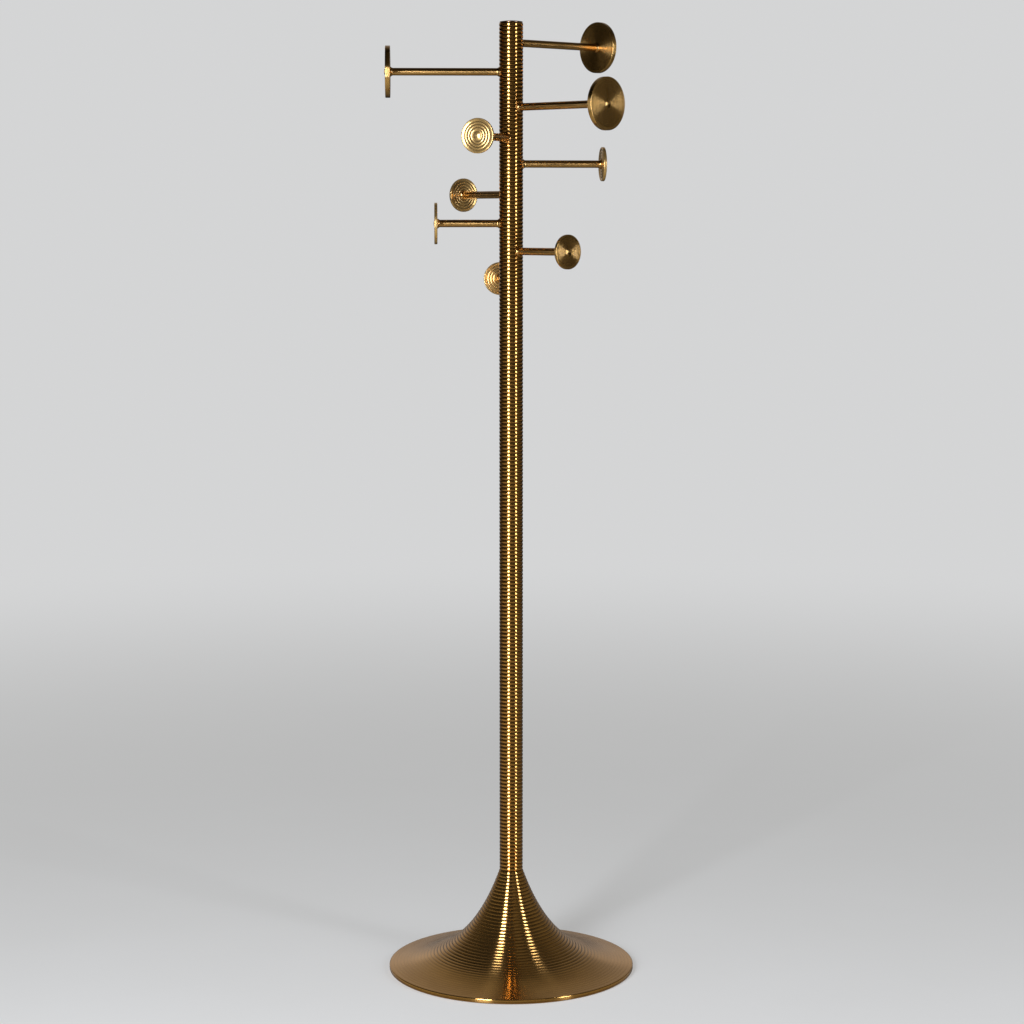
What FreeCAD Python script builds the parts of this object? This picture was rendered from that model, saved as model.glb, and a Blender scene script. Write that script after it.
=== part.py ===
"""Free-standing brass coat and hat stand.

A ribbed brass pole in three screwed sections rises out of a ribbed, trumpet-shaped base. Nine
round pegs stand out of the top section at different heights and bearings, and each ends in a
turned brass disc with rings on both faces. Inside the base are a cast-iron weight, a spacer
tube and the tie rod that pulls the pole, the base and the weight together.

The origin is on the floor under the pole's centre line. +Z is up, and lengths are millimetres.
"""

import FreeCAD, Part
import math
import os
from types import SimpleNamespace

import Sketcher
from FreeCAD import Placement, Rotation, Vector

SHEET = "Sizes"

# The driving dimensions: word, value in millimetres or degrees, and what it is.
DIMENSIONS = (
    ("overall_height", 1750, "floor to the crown of the top cap"),
    ("pole_radius", 21.75, "pole's radius on the crests of its ribs"),
    ("pole_bore", 18.5, "inner radius of the pole's tubes"),
    ("rib_depth", 1, "depth of the grooves between two ribs"),
    ("section_ribs", 75, "ribs on one section of the pole"),
    ("pole_sections", 3, "sections in the pole"),
    ("neck_height", 188.3, "top of the base shell, where the pole begins"),
    ("base_radius", 228.5, "outer radius of the base's rim"),
    ("flare_foot", 0.9, "height that the base's curve sinks to, far out"),
    ("flare_decay", 67, "radius over which the base's curve falls to 1/e"),
    ("flare_ribs", 45, "ribs along the base's curve, from the neck to the rim"),
    ("flare_fine_depth", 0.12, "depth of the finest grooves, near the rim"),
    ("fade_start", 0.62, "fraction of the curve where the ribs begin to fade"),
    ("fade_finish", 0.8, "fraction of the curve where only fine grooves are left"),
    ("shell_wall", 2, "thickness of the base shell"),
    ("rim_round", 2, "radius of the rim's rounded edges"),
    ("rim_wall", 3, "thickness of the shell's rim"),
    ("rim_clearance", 1, "gap between the shell's rim and the floor"),
    ("collar_seat", 160, "height of the flat seat under the shell's neck"),
    ("collar_bore", 15, "radius of the hole through the neck"),
    ("cap_radius", 20.6, "radius of the top cap"),
    ("cap_height", 4, "how far the cap stands above the pole"),
    ("cap_crown", 2, "how far the cap's crown rises above its edge"),
    ("cap_plug_radius", 18.4, "radius of the cap's plug, inside the pole"),
    ("cap_plug_length", 14, "length of the cap's plug"),
    ("bush_length", 28, "length of a threaded bush in the end of a tube"),
    ("stud_radius", 5.95, "radius of the M12 studs and the tie rod"),
    ("stud_bore", 6, "radius of an M12 threaded hole"),
    ("stud_length", 48, "length of a stud between two sections"),
    ("spigot_radius", 14.9, "radius of the foot bush's spigot in the neck"),
    ("spigot_length", 12, "length of that spigot"),
    ("pad_thickness", 3, "thickness of the felt ring on the floor"),
    ("pad_inner", 185, "inner radius of the felt ring"),
    ("pad_outer", 212, "outer radius of the felt ring"),
    ("plate_thickness", 2, "thickness of the bottom plate"),
    ("plate_radius", 224.5, "radius of the bottom plate"),
    ("plate_hole", 20, "radius of the plate's hole for the spanner"),
    ("screw_circle", 135, "radius of the circle of plate screws"),
    ("screw_count", 6, "number of plate screws"),
    ("screw_radius", 2.5, "radius of a plate screw's shank"),
    ("screw_clearance", 0.3, "how much wider than a shank the plate's screw holes are"),
    ("screw_length", 9, "length of a plate screw's shank"),
    ("screw_head_radius", 4.6, "radius of a plate screw's head"),
    ("screw_head_height", 2.2, "height of a plate screw's head"),
    ("weight_radius", 152, "radius of the cast-iron weight"),
    ("weight_thickness", 12, "thickness of the weight's disc"),
    ("hub_radius", 32, "radius of the weight's hub"),
    ("hub_height", 26, "height of the hub above the weight's disc"),
    ("rod_hole", 6.6, "radius of the clearance hole for the tie rod"),
    ("rod_foot", 0.5, "how far the tie rod stands out below its nut"),
    ("rod_gap", 6, "thread left empty above the tie rod in the foot bush"),
    ("nut_recess", 17, "radius of the recess for the nut and washer"),
    ("nut_height", 8, "height of the hexagon nut"),
    ("nut_circumradius", 10.97, "corner radius of the hexagon nut"),
    ("washer_thickness", 2, "thickness of the washer"),
    ("washer_radius", 14, "outer radius of the washer"),
    ("spacer_outer", 21.2, "outer radius of the spacer tube"),
    ("spacer_inner", 18.6, "inner radius of the spacer tube"),
    ("seat_depth", 20, "pole axis to the flat seat cut for each peg"),
    ("seat_radius", 9, "radius of that seat"),
    ("cutter_margin", 2, "how far a seat's cutter runs on past what it cuts"),
    ("insert_hole", 5.1, "radius of the hole through the tube for an insert"),
    ("insert_sleeve", 5, "outer radius of a threaded insert's sleeve"),
    ("insert_bore", 4, "radius of the insert's M8 thread"),
    ("insert_flange_radius", 6.6, "radius of the insert's flange"),
    ("insert_flange", 1, "thickness of the insert's flange"),
    ("insert_bulge_radius", 7, "radius of the insert's crimped end"),
    ("insert_bulge", 3, "thickness of the insert's crimped end"),
    ("insert_length", 6.2, "length of the insert below its flange"),
    ("stem_radius", 6.8, "radius of a peg's rod"),
    ("stem_collar", 8.8, "radius of the rod's flared ends"),
    ("collar_edge", 1.2, "straight edge of a flared end"),
    ("flare_length", 4.2, "length of the curved part of a flared end"),
    ("stem_stud", 3.9, "radius of the rod's M8 stud, in the pole"),
    ("stem_stud_length", 10, "length of that stud"),
    ("stem_tip", 2.95, "radius of the rod's M6 stud, in the disc"),
    ("stem_tip_length", 3.6, "length of that stud"),
    ("disc_thickness", 5.5, "thickness of a small or medium disc"),
    ("large_thickness", 9, "thickness of a large disc"),
    ("disc_edge", 1, "radius of a disc's rounded edges"),
    ("disc_hub", 9.4, "radius of the plain seat at a disc's middle"),
    ("disc_socket", 3.05, "radius of the M6 hole in a disc"),
    ("disc_socket_depth", 4.4, "depth of the M6 hole in a disc"),
    ("boss_radius", 8, "radius of the boss at the middle of a disc's face"),
    ("boss_height", 2.2, "height of that boss"),
    ("rim_bead", 5.8, "width of a disc's plain outer ring"),
    ("ring_relief", 0.95, "depth of the grooves on a small or medium disc"),
    ("fine_relief", 0.25, "depth of the grooves on a large or plain disc"),
    ("small_disc", 30.8, "radius of a small disc"),
    ("medium_disc", 37.4, "radius of a medium disc"),
    ("large_disc", 46.4, "radius of a large disc"),
)

# Each peg, from the top down: its height, its bearing round the pole, which is 0 along +X and
# 90 along +Y, the distance from the pole's axis to the middle of its disc, and the disc's kind.
PEGS = (
    (1711, 40, 210, "large"),
    (1659, 182, 222, "large"),
    (1596, 318, 223, "large"),
    (1541, 246.5, 147, "small"),
    (1495, 8, 168, "small"),
    (1440, 127, 147, "small"),
    (1388, 182, 136.5, "medium"),
    (1338, 313, 147, "plain"),
    (1285, 98, 147, "small"),
)

# For each kind of disc: the cells that hold its radius, its thickness and the depth of its
# grooves, and how many rings it has between its hub and its plain outer ring.
DISCS = {
    "small": ("small_disc", "disc_thickness", "ring_relief", 3),
    "plain": ("small_disc", "disc_thickness", "fine_relief", 6),
    "medium": ("medium_disc", "disc_thickness", "ring_relief", 4),
    "large": ("large_disc", "large_thickness", "fine_relief", 11),
}

LINING_STEPS = 16       # spans of the curve inside the base shell
HALVINGS = 60           # steps that narrow a radius down to the last digit
NUT_SIDES = 6
FIRST_ANGLE = 10        # gives a peg's placement its axis; the sheet then sets the angle
SMALLEST_CUT = 1        # cubic millimetres that any cut must remove


class Size:
    """A dimension worked out from cells of the sheet: its value and its expression."""

    def __init__(self, value, text):
        self.value = value
        self.text = text

    def joined(self, sign, other, value):
        return Size(value, f"({self.text} {sign} {other.text})")

    def __add__(self, other):
        other = as_size(other)
        return self.joined("+", other, self.value + other.value)

    def __sub__(self, other):
        other = as_size(other)
        return self.joined("-", other, self.value - other.value)

    def __mul__(self, other):
        other = as_size(other)
        return self.joined("*", other, self.value * other.value)

    def __truediv__(self, other):
        other = as_size(other)
        return self.joined("/", other, self.value / other.value)


def as_size(number):
    return number if isinstance(number, Size) else Size(float(number), repr(float(number)))


def make_sheet(doc, rows):
    """Write the driving dimensions to the sheet, and return each one under its alias."""
    sheet = doc.addObject("Spreadsheet::Sheet", SHEET)
    sizes = {}
    for line, (alias, value, note) in enumerate(rows, start=1):
        sheet.set(f"A{line}", alias)
        sheet.set(f"B{line}", str(value))
        sheet.set(f"C{line}", note)
        sheet.setAlias(f"B{line}", alias)
        sizes[alias] = Size(float(value), f"{SHEET}.{alias}")
    return SimpleNamespace(**sizes)


def peg_rows():
    """The sheet's rows for the pegs' heights, bearings and reaches."""
    rows = []
    for number, (height, bearing, reach, disc) in enumerate(PEGS, start=1):
        rows.append((f"peg_{number}_height", height, f"height of peg {number}"))
        rows.append((f"peg_{number}_bearing", bearing, f"bearing of peg {number}"))
        rows.append((f"peg_{number}_reach", reach, f"axis to disc, peg {number}, {disc}"))
    return tuple(rows)


def origin_feature(body, role):
    return next(item for item in body.Origin.OriginFeatures if item.Role == role)


def make_body(doc, label):
    body = doc.addObject("PartDesign::Body", label)
    body.Label = label
    return body


def make_sketch(body, name, plane):
    sketch = body.newObject("Sketcher::SketchObject", name)
    sketch.AttachmentSupport = (origin_feature(body, plane), [""])
    sketch.MapMode = "FlatFace"
    return sketch


def arc_between(start, end, radius):
    """The arc from start to end. Its centre is on the left of the way for a radius over 0."""
    across = end - start
    middle = (start + end) * 0.5
    rise = math.sqrt(radius * radius - across.Length ** 2 / 4)
    left = Vector(-across.y, across.x, 0).normalize()
    centre = middle + left * math.copysign(rise, radius)
    first, last = (start, end) if radius > 0 else (end, start)
    angles = [math.atan2(point.y - centre.y, point.x - centre.x) for point in (first, last)]
    if angles[1] < angles[0]:
        angles[1] += 2 * math.pi
    circle = Part.Circle(centre, Vector(0, 0, 1), abs(radius))
    return Part.ArcOfCircle(circle, angles[0], angles[1])


def draw_outline(sketch, corners):
    """Draw a closed outline whose corners and arcs are bound to the sheet.

    A corner is (across, up), or (across, up, radius, side) where an arc leads to it from the
    corner before. side is 1 where the arc's centre is on the left of the way, and -1 if not.
    """
    count = len(corners)
    places = [Vector(as_size(c[0]).value, as_size(c[1]).value, 0) for c in corners]
    shapes = []
    ends = []
    for index in range(count):
        following = corners[(index + 1) % count]
        start, end = places[index], places[(index + 1) % count]
        if len(following) == 2:
            shapes.append(Part.LineSegment(start, end))
            ends.append((1, 2))
        else:
            shapes.append(arc_between(start, end, following[2].value * following[3]))
            ends.append((1, 2) if following[3] > 0 else (2, 1))
    sketch.addGeometry(shapes, False)

    rules = []
    bound = []
    for index, corner in enumerate(corners):
        after = (index + 1) % count
        rules.append(Sketcher.Constraint("Coincident", index, ends[index][1], after, ends[after][0]))
        for kind, axis, place in (("DistanceX", -2, corner[0]), ("DistanceY", -1, corner[1])):
            place = as_size(place)
            if place.value == 0:
                rules.append(Sketcher.Constraint("PointOnObject", index, ends[index][0], axis))
                continue
            bound.append((len(rules), place.text))
            rules.append(Sketcher.Constraint(kind, -1, 1, index, ends[index][0], place.value))
        following = corners[after]
        if len(following) > 2:
            bound.append((len(rules), following[2].text))
            rules.append(Sketcher.Constraint("Radius", index, following[2].value))
    sketch.addConstraint(rules)
    for index, text in bound:
        sketch.setExpression(f"Constraints[{index}]", text)


def turned(doc, label, corners, axis="V_Axis"):
    """A body turned from one outline in its XZ plane, about the sketch's V_Axis or H_Axis."""
    body = make_body(doc, label)
    sketch = make_sketch(body, f"{label}_outline", "XZ_Plane")
    draw_outline(sketch, corners)
    turn = body.newObject("PartDesign::Revolution", f"{label}_turning")
    turn.Profile = sketch
    turn.ReferenceAxis = (sketch, [axis])
    turn.Angle = 360
    body.Tip = turn
    return body


def drill_ring(body, name, radius, circle, depth, count):
    """Drill one hole up from the XY plane and repeat it round Z."""
    before = body.Tip
    sketch = make_sketch(body, f"{name}_circle", "XY_Plane")
    sketch.addGeometry(Part.Circle(Vector(circle.value, 0, 0), Vector(0, 0, 1), radius.value), False)
    sketch.addConstraint(Sketcher.Constraint("PointOnObject", 0, 3, -1))
    sketch.addConstraint(Sketcher.Constraint("DistanceX", -1, 1, 0, 3, circle.value))
    sketch.addConstraint(Sketcher.Constraint("Radius", 0, radius.value))
    sketch.setExpression("Constraints[1]", circle.text)
    sketch.setExpression("Constraints[2]", radius.text)
    pocket = body.newObject("PartDesign::Pocket", f"{name}_pocket")
    pocket.Profile = sketch
    pocket.Type = "Length"
    pocket.Reversed = True
    pocket.setExpression("Length", depth.text)
    pattern = body.newObject("PartDesign::PolarPattern", f"{name}_pattern")
    pattern.Originals = [pocket]
    pattern.Axis = (origin_feature(body, "Z_Axis"), [""])
    pattern.Angle = 360
    pattern.setExpression("Occurrences", count.text)
    body.Tip = pattern
    return before, pocket, pattern


def group(doc, label, members):
    compound = doc.addObject("Part::Compound", label)
    compound.Label = label
    compound.Links = members
    return compound


# ---------------------------------------------------------------- base


def flare_point(size, share):
    """The point and upward normal on the base's curve, at a share of its length from the neck.

    The curve's height falls exponentially with radius. Its slope is w at any point, and the
    length between two slopes has a closed form, so the radius at a length is found by halving.
    """
    decay = size.flare_decay.value
    drop = size.neck_height.value - size.flare_foot.value
    reach = size.base_radius.value - size.rim_round.value - size.pole_radius.value

    def length_to(run):
        def term(w):
            return math.hypot(1, w) - math.asinh(1 / w)

        steepest = drop / decay
        return decay * (term(steepest) - term(steepest * math.exp(-run / decay)))

    goal = share * length_to(reach)
    low, high = 0, reach
    for _ in range(HALVINGS):
        middle = (low + high) / 2
        low, high = (middle, high) if length_to(middle) < goal else (low, middle)
    slope = drop / decay * math.exp(-low / decay)
    height = size.flare_foot.value + drop * math.exp(-low / decay)
    point = Vector(size.pole_radius.value + low, 0, height)
    return point, Vector(slope, 0, 1).normalize()


def flare_depth(size, share):
    """Groove depth along the curve: full at the neck, then fading to fine turned rings."""
    start, finish = size.fade_start.value, size.fade_finish.value
    fade = min(max((finish - share) / (finish - start), 0), 1)
    smooth = fade * fade * (3 - 2 * fade)
    fine = size.flare_fine_depth.value
    return fine + (size.rib_depth.value - fine) * smooth


def base_shell(doc, size):
    """The spun and turned trumpet: ribbed outside, smooth inside, with a collar in its neck."""
    ribs = int(size.flare_ribs.value)

    def groove(index):
        point, normal = flare_point(size, index / ribs)
        return point - normal * flare_depth(size, index / ribs)

    neck = Vector(size.pole_radius.value - size.rib_depth.value, 0, size.neck_height.value)
    rim_top, _ = flare_point(size, 1)
    grooves = [neck] + [groove(index) for index in range(1, ribs)] + [rim_top]
    edges = []
    for index in range(ribs):
        crest, _ = flare_point(size, (index + 0.5) / ribs)
        edges.append(Part.Arc(grooves[index], crest, grooves[index + 1]).toShape())

    outer = size.base_radius.value
    rounding = size.rim_round.value
    floor_gap = size.rim_clearance.value
    bevel = rounding * (1 - math.sqrt(0.5))
    shoulder = Vector(outer, 0, rim_top.z - rounding)
    top_middle = Vector(outer - bevel, 0, rim_top.z - bevel)
    low_side = Vector(outer, 0, floor_gap + rounding)
    low_middle = Vector(outer - bevel, 0, floor_gap + bevel)
    underside = Vector(outer - rounding, 0, floor_gap)
    inner_foot = Vector(outer - size.rim_wall.value, 0, floor_gap)

    wall = size.shell_wall.value
    decay = size.flare_decay.value
    drop = size.neck_height.value - size.flare_foot.value

    def lining_height(radius):
        run = radius + wall - size.pole_radius.value
        return size.flare_foot.value + drop * math.exp(-run / decay) - wall

    seat = size.collar_seat.value
    seat_run = decay * math.log(drop / (seat + wall - size.flare_foot.value))
    seat_edge = size.pole_radius.value + seat_run - wall
    span = (seat_edge - inner_foot.x) / LINING_STEPS
    radii = [inner_foot.x + span * step for step in range(LINING_STEPS + 1)]
    lining_points = [Vector(radius, 0, lining_height(radius)) for radius in radii]
    lining = Part.BSplineCurve()
    lining.interpolate(lining_points)

    collar_low = Vector(size.collar_bore.value, 0, seat)
    collar_high = Vector(size.collar_bore.value, 0, size.neck_height.value)
    edges += [
        Part.Arc(rim_top, top_middle, shoulder).toShape(),
        Part.LineSegment(shoulder, low_side).toShape(),
        Part.Arc(low_side, low_middle, underside).toShape(),
        Part.LineSegment(underside, inner_foot).toShape(),
        Part.LineSegment(inner_foot, lining_points[0]).toShape(),
        lining.toShape(),
        Part.LineSegment(lining_points[-1], collar_low).toShape(),
        Part.LineSegment(collar_low, collar_high).toShape(),
        Part.LineSegment(collar_high, neck).toShape(),
    ]
    section = Part.Face(Part.Wire(edges))
    shell = doc.addObject("Part::Feature", "base_shell")
    shell.Label = "base_shell"
    shell.Shape = section.revolve(Vector(0, 0, 0), Vector(0, 0, 1), 360)
    shell.Placement = Placement()
    return shell


def base_weight(doc, size):
    """The cast-iron weight: a disc with a hub on top and a recess for the nut below."""
    low = size.pad_thickness + size.plate_thickness
    high = low + size.weight_thickness
    top = high + size.hub_height
    body = turned(doc, "base_weight", [
        (size.nut_recess, low),
        (size.weight_radius, low),
        (size.weight_radius, high),
        (size.hub_radius, high),
        (size.hub_radius, top),
        (size.rod_hole, top),
        (size.rod_hole, high),
        (size.nut_recess, high),
    ])
    depth = low + size.screw_length
    steps = drill_ring(body, "weight_holes", size.screw_radius, size.screw_circle, depth,
                       size.screw_count)
    return body, steps


def base_plate(doc, size):
    """The sheet-steel bottom plate, with a spanner hole and a ring of screw holes."""
    low = size.pad_thickness
    high = low + size.plate_thickness
    body = turned(doc, "base_plate", [
        (size.plate_hole, low),
        (size.plate_radius, low),
        (size.plate_radius, high),
        (size.plate_hole, high),
    ])
    steps = drill_ring(body, "plate_holes", size.screw_radius + size.screw_clearance, size.screw_circle,
                       high + size.plate_thickness, size.screw_count)
    return body, steps


def floor_pad(doc, size):
    """The felt ring that the stand rests on."""
    return turned(doc, "floor_pad", [
        (size.pad_inner, 0),
        (size.pad_outer, 0),
        (size.pad_outer, size.pad_thickness),
        (size.pad_inner, size.pad_thickness),
    ])


def plate_screws(doc, size):
    """The pan-head screws that hold the plate to the weight."""
    seat = size.pad_thickness
    tip = seat + size.screw_length
    screws = []
    for number in range(int(size.screw_count.value)):
        screw = turned(doc, f"plate_screw_{number + 1}", [
            (0, seat - size.screw_head_height),
            (size.screw_head_radius, seat - size.screw_head_height),
            (size.screw_head_radius, seat),
            (size.screw_radius, seat),
            (size.screw_radius, tip),
            (0, tip),
        ])
        turn = Rotation(Vector(0, 0, 1), 360 * number / size.screw_count.value)
        screw.Placement = Placement(turn.multVec(Vector(size.screw_circle.value, 0, 0)), turn)
        screws.append(screw)
    return group(doc, "plate_screws", screws)


def base_washer(doc, size):
    """The plain washer between the nut and the weight."""
    top = size.pad_thickness + size.plate_thickness + size.weight_thickness
    return turned(doc, "base_washer", [
        (size.rod_hole, top - size.washer_thickness),
        (size.washer_radius, top - size.washer_thickness),
        (size.washer_radius, top),
        (size.rod_hole, top),
    ])


def base_nut(doc, size):
    """The hexagon nut on the tie rod: a prism with the thread's hole cut out."""
    low = (size.pad_thickness + size.plate_thickness + size.weight_thickness
           - size.washer_thickness - size.nut_height)
    prism = doc.addObject("Part::Prism", "nut_blank")
    prism.Polygon = NUT_SIDES
    prism.setExpression("Circumradius", size.nut_circumradius.text)
    prism.setExpression("Height", size.nut_height.text)
    hole = doc.addObject("Part::Cylinder", "nut_hole")
    hole.setExpression("Radius", size.stud_bore.text)
    hole.setExpression("Height", size.nut_height.text)
    nut = doc.addObject("Part::Cut", "base_nut")
    nut.Label = "base_nut"
    nut.Base = prism
    nut.Tool = hole
    nut.setExpression("Placement.Base.z", low.text)
    return nut


def tie_rod(doc, size):
    """The M12 rod from the nut under the weight up into the pole's foot bush."""
    low = (size.pad_thickness + size.plate_thickness + size.weight_thickness
           - size.washer_thickness - size.nut_height - size.rod_foot)
    top = size.neck_height + size.bush_length - size.rod_gap
    return turned(doc, "tie_rod", [
        (0, low),
        (size.stud_radius, low),
        (size.stud_radius, top),
        (0, top),
    ])


def spacer_tube(doc, size):
    """The steel tube that carries the neck's clamping load down to the weight's hub."""
    low = (size.pad_thickness + size.plate_thickness + size.weight_thickness
           + size.hub_height)
    return turned(doc, "spacer_tube", [
        (size.spacer_inner, low),
        (size.spacer_outer, low),
        (size.spacer_outer, size.collar_seat),
        (size.spacer_inner, size.collar_seat),
    ])


# ---------------------------------------------------------------- pole


def pole_section(doc, size, label, place):
    """A ribbed tube whose outline is a stack of equal beads that meet in sharp grooves."""
    run = size.overall_height.value - size.cap_height.value - size.neck_height.value
    length = run / size.pole_sections.value
    start = size.neck_height.value + length * place
    ribs = int(size.section_ribs.value)
    pitch = length / ribs
    bore = size.pole_bore.value
    crest = size.pole_radius.value
    groove = crest - size.rib_depth.value

    def across(radius, height):
        return Vector(radius, 0, start + height)

    edges = [Part.LineSegment(across(bore, 0), across(groove, 0)).toShape()]
    for rib in range(ribs):
        low, high = rib * pitch, (rib + 1) * pitch
        bead = Part.Arc(across(groove, low), across(crest, low + pitch / 2), across(groove, high))
        edges.append(bead.toShape())
    edges.append(Part.LineSegment(across(groove, length), across(bore, length)).toShape())
    edges.append(Part.LineSegment(across(bore, length), across(bore, 0)).toShape())
    section = Part.Face(Part.Wire(edges))
    tube = doc.addObject("Part::Feature", label)
    tube.Label = label
    tube.Shape = section.revolve(Vector(0, 0, 0), Vector(0, 0, 1), 360)
    tube.Placement = Placement()
    return tube


def joint_heights(size):
    """The heights of the pole's foot and of its two joints."""
    length = (size.overall_height - size.cap_height - size.neck_height) / size.pole_sections
    return [size.neck_height + length * place for place in range(int(size.pole_sections.value))]


def foot_bush(doc, size):
    """The threaded bush in the pole's foot, with a spigot that centres it in the neck."""
    low = size.neck_height - size.spigot_length
    high = size.neck_height + size.bush_length
    return turned(doc, "foot_bush", [
        (size.stud_bore, low),
        (size.spigot_radius, low),
        (size.spigot_radius, size.neck_height),
        (size.pole_bore, size.neck_height),
        (size.pole_bore, high),
        (size.stud_bore, high),
    ])


def joint_bush(doc, size, label, low):
    """A threaded bush pressed into the end of a tube at a joint."""
    high = low + size.bush_length
    return turned(doc, label, [
        (size.stud_bore, low),
        (size.pole_bore, low),
        (size.pole_bore, high),
        (size.stud_bore, high),
    ])


def joint_stud(doc, size, label, joint):
    """The M12 stud that screws two sections together."""
    low = joint - size.stud_length / 2
    high = joint + size.stud_length / 2
    return turned(doc, label, [
        (0, low),
        (size.stud_radius, low),
        (size.stud_radius, high),
        (0, high),
    ])


def top_cap(doc, size):
    """The low domed cap, on a plug inside the top of the pole."""
    seat = size.overall_height - size.cap_height
    edge = size.overall_height - size.cap_crown
    crown = (size.cap_radius * size.cap_radius + size.cap_crown * size.cap_crown) / (
        size.cap_crown * 2)
    return turned(doc, "top_cap", [
        (0, seat - size.cap_plug_length),
        (size.cap_plug_radius, seat - size.cap_plug_length),
        (size.cap_plug_radius, seat),
        (size.cap_radius, seat),
        (size.cap_radius, edge),
        (0, size.overall_height, crown, 1),
    ])


# ---------------------------------------------------------------- pegs


def place_peg(piece, number):
    """Stand a piece, turned about its own X axis, at its peg's height and bearing."""
    piece.Placement = Placement(Vector(0, 0, 0), Rotation(Vector(0, 0, 1), FIRST_ANGLE))
    piece.setExpression("Placement.Base.z", f"{SHEET}.peg_{number}_height")
    piece.setExpression("Placement.Rotation.Angle", f"{SHEET}.peg_{number}_bearing")
    return piece


def peg_cutter(doc, size, number):
    """The stepped cutter for a peg's flat seat and the hole through the tube's wall."""
    inside = size.seat_depth - size.insert_length - size.cutter_margin
    outside = size.pole_radius + size.cutter_margin
    cutter = turned(doc, f"peg_cutter_{number}", [
        (inside, 0),
        (outside, 0),
        (outside, size.seat_radius),
        (size.seat_depth, size.seat_radius),
        (size.seat_depth, size.insert_hole),
        (inside, size.insert_hole),
    ], "H_Axis")
    return place_peg(cutter, number)


def peg_insert(doc, size, number):
    """A threaded insert: its flange is on the flat seat and its end is crimped in the tube."""
    tail = size.seat_depth - size.insert_length
    flange = size.seat_depth + size.insert_flange
    insert = turned(doc, f"peg_insert_{number}", [
        (tail, size.insert_bore),
        (flange, size.insert_bore),
        (flange, size.insert_flange_radius),
        (size.seat_depth, size.insert_flange_radius),
        (size.seat_depth, size.insert_sleeve),
        (tail + size.insert_bulge, size.insert_sleeve),
        (tail + size.insert_bulge, size.insert_bulge_radius),
        (tail, size.insert_bulge_radius),
    ], "H_Axis")
    return place_peg(insert, number)


def disc_size(size, kind):
    """A disc's radius, thickness and depth of groove, and how many rings it has."""
    radius, thickness, relief, rings = DISCS[kind]
    return getattr(size, radius), getattr(size, thickness), getattr(size, relief), rings


def peg_stem(doc, size, number, reach, kind):
    """A peg's rod: a stud for the pole, two flared ends and a stud for the disc."""
    _, thickness, _, _ = disc_size(size, kind)
    root = size.seat_depth + size.insert_flange
    face = reach - thickness / 2
    step = size.stem_collar - size.stem_radius
    curve = (size.flare_length * size.flare_length + step * step) / (step * 2)
    stem = turned(doc, f"peg_stem_{number}", [
        (root - size.stem_stud_length, 0),
        (face + size.stem_tip_length, 0),
        (face + size.stem_tip_length, size.stem_tip),
        (face, size.stem_tip),
        (face, size.stem_collar),
        (face - size.collar_edge, size.stem_collar),
        (face - size.collar_edge - size.flare_length, size.stem_radius, curve, -1),
        (root + size.collar_edge + size.flare_length, size.stem_radius),
        (root + size.collar_edge, size.stem_collar, curve, -1),
        (root, size.stem_collar),
        (root, size.stem_stud),
        (root - size.stem_stud_length, size.stem_stud),
    ], "H_Axis")
    return place_peg(stem, number)


def peg_disc(doc, size, number, reach, kind):
    """A turned disc: rings on both faces, rounded edges and a low boss on the outer face."""
    radius, thickness, relief, rings = disc_size(size, kind)
    inner = reach - thickness / 2
    outer = reach + thickness / 2
    rim = radius - size.rim_bead
    pitch = (rim - size.disc_hub) / rings
    bead = (pitch * pitch / 4 + relief * relief) / (relief * 2)
    crest = radius - size.disc_edge
    rise = crest - rim
    lip = (rise * rise + relief * relief) / (relief * 2)
    boss = (size.boss_radius * size.boss_radius + size.boss_height * size.boss_height) / (
        size.boss_height * 2)

    corners = [
        (inner + size.disc_socket_depth, 0),
        (outer - relief + size.boss_height, 0),
        (outer - relief, size.boss_radius, boss, 1),
        (outer - relief, size.disc_hub),
    ]
    corners += [(outer - relief, size.disc_hub + pitch * ring, bead, 1)
                for ring in range(1, rings + 1)]
    corners += [
        (outer, crest, lip, 1),
        (outer - size.disc_edge, radius, size.disc_edge, 1),
        (inner + size.disc_edge, radius),
        (inner, crest, size.disc_edge, 1),
        (inner + relief, rim, lip, 1),
    ]
    corners += [(inner + relief, rim - pitch * ring, bead, 1)
                for ring in range(1, rings + 1)]
    corners += [
        (inner, size.disc_hub),
        (inner, size.disc_socket),
        (inner + size.disc_socket_depth, size.disc_socket),
    ]
    disc = turned(doc, f"peg_disc_{number}", corners, "H_Axis")
    return place_peg(disc, number)


# ---------------------------------------------------------------- assembly


def check_document(doc, parts, cuts):
    """Stop if any object failed, any part is not valid solids, or a cut removed nothing."""
    for item in doc.Objects:
        if "Invalid" in item.State or "Error" in item.State:
            raise RuntimeError(f"{item.Label} failed: {item.State}")
    for part in parts:
        shape = part.Shape
        if shape.isNull() or not shape.isValid() or not shape.Solids:
            raise RuntimeError(f"{part.Label} is not a valid solid")
    for name, before, after in cuts:
        if after.Shape.Volume > before.Shape.Volume - SMALLEST_CUT:
            raise RuntimeError(f"{name} cut nothing")


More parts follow.
